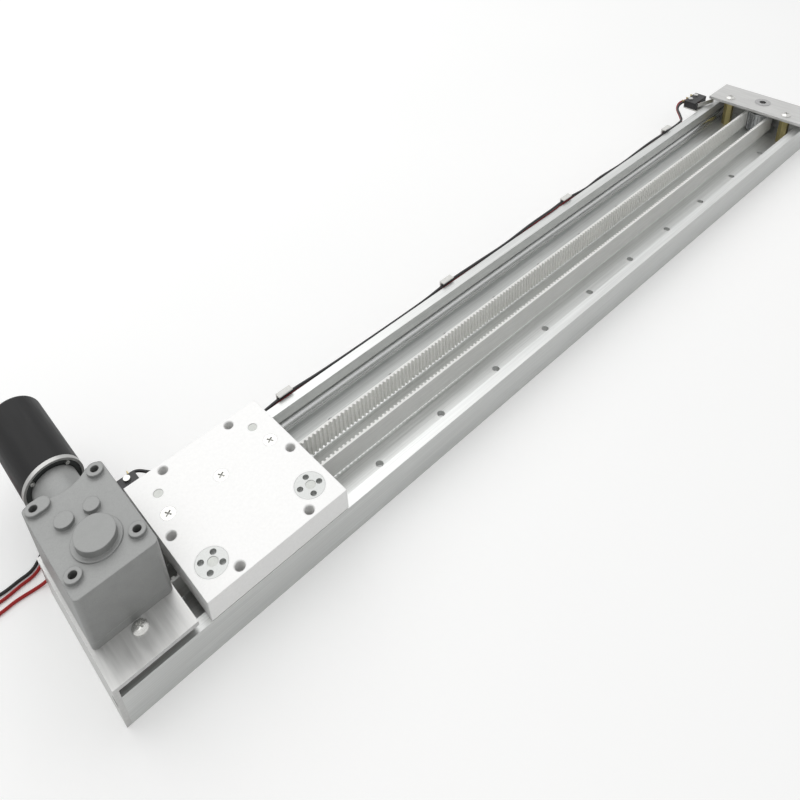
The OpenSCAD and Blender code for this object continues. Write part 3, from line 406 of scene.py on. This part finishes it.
class AXIS_OT_brackets(bpy.types.Operator):
    """Finish the end brackets and their screws"""

    bl_idname = "axis.brackets"
    bl_label = "End brackets"
    bl_options = {"REGISTER", "UNDO"}

    def execute(self, context):
        settings = context.scene.axis_settings
        dress(finish("milled_plate", settings.plate, 0.7, 0.4, grain=(500, 40, 700), tone=0.09,
                     patches=0.14, edge=0.0003), "motor_bracket", "idler_bracket")
        dress(finish("zinc_plated", (0.60, 0.60, 0.58, 1), 1.0, 0.3, grain=(1200, 1200, 1200)),
              "plate_screws", "clamp_screws", "switch_screws", "motor_screws")
        dress(finish("black_oxide", (0.03, 0.03, 0.03, 1), 0.6, 0.4), "frame_screws",
              "gearbox_screws")
        return {"FINISHED"}


class AXIS_OT_gearbox(bpy.types.Operator):
    """Finish the gearbox castings, gears and shafts"""

    bl_idname = "axis.gearbox"
    bl_label = "Gearbox"
    bl_options = {"REGISTER", "UNDO"}

    def execute(self, context):
        settings = context.scene.axis_settings
        dress(finish("die_casting", settings.casting, 0.35, 0.46, grain=(220, 220, 220), tone=0.07,
                     fine=1500, speck=0.16, bump=0.35, depth=0.00006, edge=0.0008, wear=0.35,
                     patches=0.2), "gearbox_housing", "gearbox_base_plate")
        dress(finish("gear_brass", (0.55, 0.40, 0.15, 1), 1.0, 0.32), "output_gear",
              "intermediate_gear")
        dress(finish("ground_steel", (0.5, 0.5, 0.5, 1), 1.0, 0.25, grain=(1500, 1500, 200)),
              "output_shaft", "output_bearings", "intermediate_pin", "worm_shaft")
        return {"FINISHED"}


class AXIS_OT_motor(bpy.types.Operator):
    """Finish the motor"""

    bl_idname = "axis.motor"
    bl_label = "Motor"
    bl_options = {"REGISTER", "UNDO"}

    def execute(self, context):
        settings = context.scene.axis_settings
        dress(finish("motor_paint", settings.motor, 0.0, 0.42, grain=(500, 60, 500), tone=0.2,
                     fine=1700, bump=0.12, depth=0.00003, edge=0.0006, wear=0.1, sheen=0.2),
              "motor_can")
        dress(finish("motor_front", (0.055, 0.06, 0.058, 1), 0.4, 0.5), "motor_front_plate",
              "motor_armature")
        dress(finish("bright_ring", (0.46, 0.46, 0.45, 1), 0.8, 0.4, grain=(400, 4000, 400)),
              "motor_front_ring")
        dress(finish("cap_plastic", (0.02, 0.02, 0.02, 1), 0.0, 0.5), "motor_end_cap")
        dress(finish("terminal_brass", (0.50, 0.42, 0.22, 1), 1.0, 0.38), "motor_terminals",
              "switch_terminals")
        return {"FINISHED"}


class AXIS_OT_belt_drive(bpy.types.Operator):
    """Finish the belt, the pulleys and the idler"""

    bl_idname = "axis.belt_drive"
    bl_label = "Belt drive"
    bl_options = {"REGISTER", "UNDO"}

    def execute(self, context):
        settings = context.scene.axis_settings
        dress(finish("belt_polyurethane", settings.belt, 0.0, 0.5, grain=(60, 400, 900), tone=0.05,
                     edge=0.00012, wear=0.1, patches=0.12), "belt")
        dress(finish("pulley_aluminium", (0.60, 0.61, 0.62, 1), 0.9, 0.32,
                     grain=(300, 300, 3000)), "drive_pulley", "idler_pulley")
        dress(finish("idler_steel", (0.42, 0.42, 0.42, 1), 1.0, 0.3), "idler_bearings",
              "idler_axle")
        return {"FINISHED"}


class AXIS_OT_carriage(bpy.types.Operator):
    """Finish the carriage, its belt clamp, rollers, bushes and axles"""

    bl_idname = "axis.carriage"
    bl_label = "Carriage"
    bl_options = {"REGISTER", "UNDO"}

    def execute(self, context):
        settings = context.scene.axis_settings
        dress(finish("blasted_aluminium", settings.carriage, 0.25, 0.5, grain=(700, 700, 700),
                     tone=0.03, fine=1900, speck=0.03, bump=0.2, edge=0.0004, wear=0.1,
                     patches=0.04), "carriage_plate")
        dress(finish("clamp_aluminium", settings.plate, 0.8, 0.4), "belt_clamp", "clamp_jaw")
        dress(finish("bush_steel", (0.50, 0.51, 0.50, 1), 0.7, 0.36, grain=(1200, 1200, 300),
                     edge=0.0002), "eccentric_bush_near", "eccentric_bush_far")
        dress(finish("roller_steel", (0.56, 0.57, 0.58, 1), 1.0, 0.18, grain=(300, 300, 2000)),
              "roller_left_near", "roller_left_far", "roller_right_near", "roller_right_far")
        dress(finish("axle_steel", (0.44, 0.45, 0.43, 1), 0.7, 0.36), "fixed_axles",
              "eccentric_axle_near", "eccentric_axle_far")
        return {"FINISHED"}


class AXIS_OT_switches(bpy.types.Operator):
    """Finish the limit switches and their brackets"""

    bl_idname = "axis.switches"
    bl_label = "Limit switches"
    bl_options = {"REGISTER", "UNDO"}

    def execute(self, context):
        dress(finish("switch_plastic", (0.02, 0.02, 0.021, 1), 0.0, 0.42, fine=1900, bump=0.1,
                     edge=0.0002, wear=0.1), "near_switch_body", "far_switch_body")
        dress(finish("button_plastic", (0.25, 0.02, 0.02, 1), 0.0, 0.3), "near_switch_button",
              "far_switch_button")
        dress(finish("sheet_steel", (0.55, 0.55, 0.53, 1), 1.0, 0.35), "switch_brackets",
              "near_switch_lever", "far_switch_lever")
        return {"FINISHED"}


class AXIS_OT_wiring(bpy.types.Operator):
    """Make the wires along the wall and finish their clips"""

    bl_idname = "axis.wiring"
    bl_label = "Wall wiring"
    bl_options = {"REGISTER", "UNDO"}

    def execute(self, context):
        settings = context.scene.axis_settings
        drop = settings.wire_diameter / MM + WIRE_GAP
        lowered = [(x, y, z - drop) for x, y, z in WALL_ROUTE]
        rows = (("wall_wire_black", BLACK_START + WALL_ROUTE + BLACK_END, "switch_wire_black",
                 settings.black, "wire_black"),
                ("wall_wire_red", RED_START + lowered + RED_END, "switch_wire_red",
                 settings.red, "wire_red"))
        for name, route, node, colour, slot in rows:
            skin = finish(slot, colour, 0.0, 0.36, grain=(200, 200, 200), tone=0.12, wear=0.0)
            obj = wire(name, smooth(route), settings.wire_diameter, skin)
            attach(obj, "frame")
            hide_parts(node)
        dress(finish("clip_nylon", (0.78, 0.78, 0.75, 1), 0.0, 0.45), "cable_clips")
        return {"FINISHED"}


class AXIS_OT_leads(bpy.types.Operator):
    """Make the free leads of the motor and the switches"""

    bl_idname = "axis.leads"
    bl_label = "Free leads"
    bl_options = {"REGISTER", "UNDO"}

    def execute(self, context):
        settings = context.scene.axis_settings
        low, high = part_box("motor_terminals")
        back = high[1]
        height = (low[2] + high[2]) / 2
        offset = high[0] - TERMINAL_HALF_WIDTH
        red = bpy.data.materials["wire_red"]
        black = bpy.data.materials["wire_black"]
        free_lead("switch_cord", SWITCH_LEAD, [], settings.switch_lead_length, red,
                  settings)
        for name, side, route, skin, slot in (
                ("motor_cord_black", -1, MOTOR_BLACK, black, "wire_black"),
                ("motor_cord_red", 1, MOTOR_RED, red, "wire_red")):
            start = (side * offset, back, height)
            free_lead(name, route, [tuple(c / MM for c in start)], settings.motor_lead_length, skin,
                      settings)
        return {"FINISHED"}


class AXIS_OT_stage(bpy.types.Operator):
    """Make the floor, the lights, the surroundings and the camera"""

    bl_idname = "axis.stage"
    bl_label = "Stage"
    bl_options = {"REGISTER", "UNDO"}

    def execute(self, context):
        settings = context.scene.axis_settings
        self.camera(settings)
        self.floor()
        self.lights(settings)
        self.surroundings(settings)
        context.scene.view_settings.view_transform = "Standard"
        return {"FINISHED"}

    def camera(self, settings):
        data = bpy.data.cameras.new("camera")
        data.sensor_width = SENSOR_WIDTH
        data.lens = settings.lens
        data.shift_x, data.shift_y = CAMERA_SHIFT
        data.clip_start = 0.01
        data.clip_end = 20
        obj = bpy.data.objects.new("camera", data)
        obj.location = CAMERA_PLACE
        obj.rotation_euler = [math.radians(a) for a in CAMERA_TURN]
        bpy.context.collection.objects.link(obj)
        bpy.context.scene.camera = obj

    def floor(self):
        half = FLOOR_HALF
        mesh = bpy.data.meshes.new("floor")
        corners = [(-half, -half, 0), (half, -half, 0), (half, half, 0), (-half, half, 0)]
        mesh.from_pydata(corners, [], [(0, 1, 2, 3)])
        material = bpy.data.materials.new("floor_paper")
        material.use_nodes = True
        tree = material.node_tree
        shader = tree.nodes["Principled BSDF"]
        shader.inputs["Roughness"].default_value = 0.9
        shader.inputs["Specular IOR Level"].default_value = 0.0
        place = new_node(tree, "ShaderNodeTexCoord").outputs["Object"]
        cloud = noise(tree, place, (3, 3, 3), 2)
        tone = ramp(tree, cloud, [(0.3, (0.945, 0.95, 0.945, 1)), (0.7, (0.965, 0.965, 0.96, 1))])
        tree.links.new(tone, shader.inputs["Base Color"])
        seen = new_node(tree, "ShaderNodeLightPath").outputs["Is Camera Ray"]
        shader.inputs["Emission Color"].default_value = (1, 1, 1, 1)
        glow = ranged(tree, seen, 0, 1, 0, FLOOR_GLOW)
        tree.links.new(glow, shader.inputs["Emission Strength"])
        mesh.materials.append(material)
        obj = bpy.data.objects.new("floor", mesh)
        bpy.context.collection.objects.link(obj)

    def lights(self, settings):
        lo, hi = CAD_BOX
        centre = (lo + hi) / 2
        data = bpy.data.lights.new("key", "AREA")
        data.size = KEY_SIZE
        data.energy = settings.key_power
        obj = bpy.data.objects.new("key", data)
        obj.location = centre + KEY_OFFSET
        obj.rotation_euler = (-KEY_OFFSET).to_track_quat("-Z", "Y").to_euler()
        bpy.context.collection.objects.link(obj)

    def surroundings(self, settings):
        world = bpy.data.worlds.new("studio")
        bpy.context.scene.world = world
        world.use_nodes = True
        tree = world.node_tree
        tree.nodes.clear()
        path = new_node(tree, "ShaderNodeLightPath")
        seen = path.outputs["Is Camera Ray"]
        for ray in ("Is Glossy Ray", "Is Transmission Ray"):
            either = new_node(tree, "ShaderNodeMath", operation="MAXIMUM")
            tree.links.new(seen, either.inputs[0])
            tree.links.new(path.outputs[ray], either.inputs[1])
            seen = either.outputs[0]
        strength = ranged(tree, seen, 0, 1, settings.fill, 1)
        light = new_node(tree, "ShaderNodeBackground")
        light.inputs["Color"].default_value = (1, 1, 1, 1)
        tree.links.new(strength, light.inputs["Strength"])
        out = new_node(tree, "ShaderNodeOutputWorld")
        tree.links.new(light.outputs[0], out.inputs["Surface"])


OPERATORS = (AXIS_OT_stage, AXIS_OT_wiring, AXIS_OT_leads, AXIS_OT_rail, AXIS_OT_brackets,
             AXIS_OT_gearbox, AXIS_OT_motor, AXIS_OT_belt_drive, AXIS_OT_carriage,
             AXIS_OT_switches)


class AXIS_PT_panel(bpy.types.Panel):
    """The settings and one button for each piece or group of pieces"""

    bl_label = "Belt driven linear axis"
    bl_idname = "AXIS_PT_panel"
    bl_space_type = "VIEW_3D"
    bl_region_type = "UI"
    bl_category = "Axis"

    def draw(self, context):
        for name in AxisSettings.__annotations__:
            self.layout.prop(context.scene.axis_settings, name)
        for operator in OPERATORS:
            self.layout.operator(operator.bl_idname)


def register():
    for cls in (AxisSettings, *OPERATORS, AXIS_PT_panel):
        bpy.utils.register_class(cls)
    bpy.types.Scene.axis_settings = bpy.props.PointerProperty(type=AxisSettings)


def unregister():
    del bpy.types.Scene.axis_settings
    for cls in (AXIS_PT_panel, *reversed(OPERATORS), AxisSettings):
        bpy.utils.unregister_class(cls)


def main():
    register()
    for operator in OPERATORS:
        group, name = operator.bl_idname.split(".")
        getattr(getattr(bpy.ops, group), name)()


if __name__ == "__main__":
    main()
